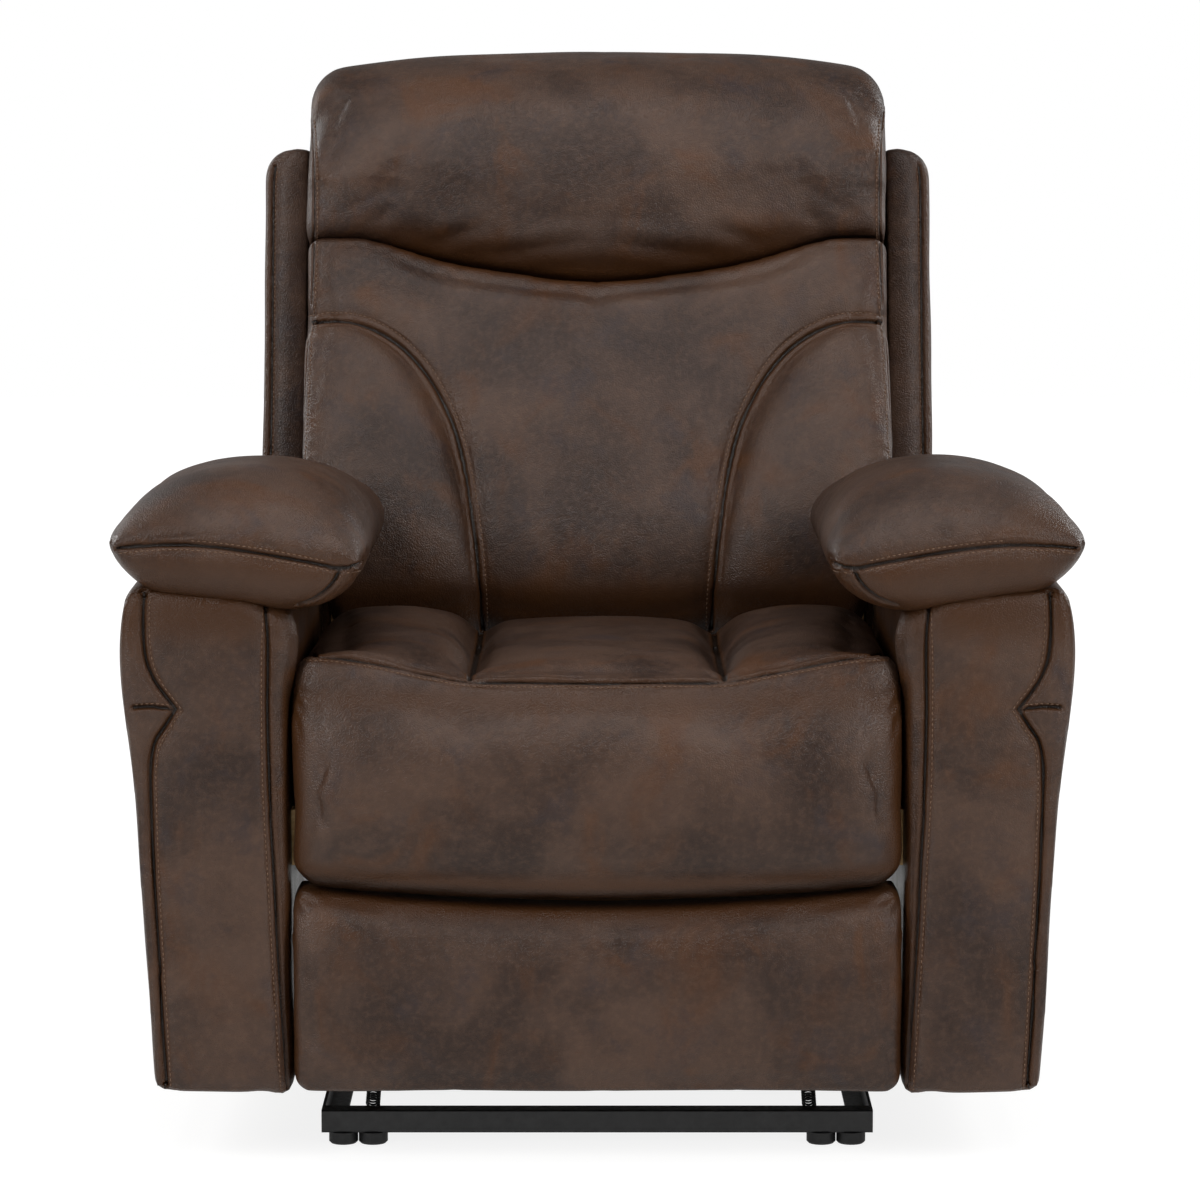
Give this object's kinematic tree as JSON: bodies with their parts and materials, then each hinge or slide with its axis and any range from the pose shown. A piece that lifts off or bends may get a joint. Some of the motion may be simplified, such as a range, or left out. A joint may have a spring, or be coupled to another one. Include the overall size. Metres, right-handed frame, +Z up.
{
  "type": "wall hugger recliner",
  "caption": "Upholstered armchair with a forward-swinging seat, reclining back, fold-out footrest, padded arms and a recessed release handle, on a low steel floor frame",
  "frame": {"origin": "on the floor, at the middle of the chair's width and depth", "axes": "+X right as seen from the front, -Y front, +Z up"},
  "size_m": [0.94, 0.92, 1.0862],
  "materials": {
    "leather": "glossy mottled brown faux leather",
    "lining": "black woven lining",
    "webbing": "elastic webbing",
    "timber": "plain plywood",
    "black_steel": "black powder coat",
    "zinc": "zinc plated",
    "spring_steel": "dark oiled steel",
    "black_plastic": "moulded, fine grain",
    "cable": "smooth sheath"
  },
  "bodies": {
    "floor_frame": {"base_front_bar": "black_steel", "base_rear_bar": "black_steel", "base_rail_left": "black_steel", "base_rail_right": "black_steel", "glide_feet": "black_plastic", "return_springs": "spring_steel"},
    "front_swing_links": {"front_swing_link_left": "black_steel", "front_swing_link_right": "black_steel", "front_swing_shaft": "black_steel"},
    "rear_swing_links": {"rear_swing_link_left": "black_steel", "rear_swing_link_right": "black_steel", "rear_swing_shaft": "black_steel"},
    "chair": {"side_plate_left": "black_steel", "side_plate_right": "black_steel", "plate_rivets": "zinc", "seat_bolts": "zinc", "seat_side_rail_left": "timber", "seat_side_rail_right": "timber", "seat_front_rail": "timber", "seat_rear_rail": "timber", "seat_webbing": "webbing", "seat_cushion": "leather", "arm_frame_left": "timber", "arm_frame_right": "timber", "arm_casing_left": "leather", "arm_casing_right": "leather", "arm_pad_left": "leather", "arm_pad_right": "leather", "release_bezel": "black_plastic", "release_cable": "cable", "cable_anchor": "black_steel"},
    "release_handle": {"release_lever": "black_plastic"},
    "trigger": {"trigger_lever": "black_steel"},
    "footrest_drive": {"footrest_front_link_left": "black_steel", "footrest_front_link_right": "black_steel", "footrest_torque_tube": "black_steel", "control_rivets": "zinc"},
    "footrest_rear_left": {"footrest_rear_link_left": "black_steel"},
    "footrest_rear_right": {"footrest_rear_link_right": "black_steel"},
    "carrier_left": {"carrier_link_left": "black_steel", "carrier_rivets_left": "zinc"},
    "carrier_right": {"carrier_link_right": "black_steel", "carrier_rivets_right": "zinc"},
    "control_left": {"control_link_left": "black_steel"},
    "control_right": {"control_link_right": "black_steel"},
    "footrest": {"footrest_bracket_left": "black_steel", "footrest_bracket_right": "black_steel", "footrest_board": "timber", "footrest_pad": "leather", "footrest_rivets": "zinc"},
    "backrest": {"back_frame": "timber", "back_webbing": "webbing", "back_bracket_left": "black_steel", "back_bracket_right": "black_steel", "back_bolts": "zinc", "outside_back": "leather", "back_wing_left": "leather", "back_wing_right": "leather", "back_cushion": "leather", "headrest": "leather"}
  },
  "joints": [
    {"name": "recline", "type": "hinge", "parent": "floor_frame", "child": "front_swing_links", "pos_m": [0, -0.23, 0.052], "axis": [1, 0, 0], "range_deg": [0, 76], "deforming": ["return_springs"]},
    {"name": "rear_swing", "type": "hinge", "parent": "floor_frame", "child": "rear_swing_links", "pos_m": [0, 0, 0.052], "axis": [1, 0, 0], "range_deg": [0, 76]},
    {"name": "chair_level", "type": "hinge", "parent": "front_swing_links", "child": "chair", "pos_m": [0, -0.11302, 0.20172], "axis": [1, 0, 0], "range_deg": [-76, 0]},
    {"name": "back_recline", "type": "hinge", "parent": "chair", "child": "backrest", "pos_m": [0, 0.13217, 0.3], "axis": [-1, 0, 0], "range_deg": [0, 38]},
    {"name": "footrest_open", "type": "hinge", "parent": "chair", "child": "footrest_drive", "pos_m": [0, -0.291, 0.276], "axis": [-1, 0, 0], "range_deg": [0, 90]},
    {"name": "footrest_rear_turn_left", "type": "hinge", "parent": "chair", "child": "footrest_rear_left", "pos_m": [-0.2573, -0.186, 0.276], "axis": [-1, 0, 0], "range_deg": [0, 90]},
    {"name": "carrier_turn_left", "type": "hinge", "parent": "footrest_drive", "child": "carrier_left", "pos_m": [-0.2573, -0.225, 0.08699], "axis": [-1, 0, 0], "range_deg": [-90, 0]},
    {"name": "control_turn_left", "type": "hinge", "parent": "footrest_drive", "child": "control_left", "pos_m": [-0.2573, -0.2395, 0.12853], "axis": [-1, 0, 0], "range_deg": [-90, 0]},
    {"name": "footrest_rear_turn_right", "type": "hinge", "parent": "chair", "child": "footrest_rear_right", "pos_m": [0.2573, -0.186, 0.276], "axis": [-1, 0, 0], "range_deg": [0, 90]},
    {"name": "carrier_turn_right", "type": "hinge", "parent": "footrest_drive", "child": "carrier_right", "pos_m": [0.2573, -0.225, 0.08699], "axis": [-1, 0, 0], "range_deg": [-90, 0]},
    {"name": "control_turn_right", "type": "hinge", "parent": "footrest_drive", "child": "control_right", "pos_m": [0.2573, -0.2395, 0.12853], "axis": [-1, 0, 0], "range_deg": [-90, 0]},
    {"name": "footrest_turn", "type": "hinge", "parent": "carrier_left", "child": "footrest", "pos_m": [-0.2573, -0.352, 0.22199], "axis": [-1, 0, 0], "range_deg": [0, 90]},
    {"name": "release_pull", "type": "hinge", "parent": "chair", "child": "release_handle", "pos_m": [-0.439, -0.191, 0.34], "axis": [0, 0, 1], "range_deg": [0, 35], "stiffness_Nm_per_rad": 0.4, "springref_deg": -11.46},
    {"name": "trigger_turn", "type": "hinge", "parent": "chair", "child": "trigger", "pos_m": [-0.2687, -0.07483, 0.262], "axis": [1, 0, 0], "range_deg": [0, 24.5]}
  ],
  "couplings": [
    {"joint": "rear_swing", "follows": "recline", "ratio": 1},
    {"joint": "chair_level", "follows": "recline", "ratio": -1},
    {"joint": "back_recline", "follows": "recline", "ratio": 0.5},
    {"joint": "footrest_turn", "follows": "footrest_open", "ratio": 1},
    {"joint": "trigger_turn", "follows": "release_pull", "ratio": 0.7},
    {"joint": "footrest_rear_turn_left", "follows": "footrest_open", "ratio": 1},
    {"joint": "carrier_turn_left", "follows": "footrest_open", "ratio": -1},
    {"joint": "control_turn_left", "follows": "footrest_open", "ratio": -1},
    {"joint": "footrest_rear_turn_right", "follows": "footrest_open", "ratio": 1},
    {"joint": "carrier_turn_right", "follows": "footrest_open", "ratio": -1},
    {"joint": "control_turn_right", "follows": "footrest_open", "ratio": -1}
  ]
}
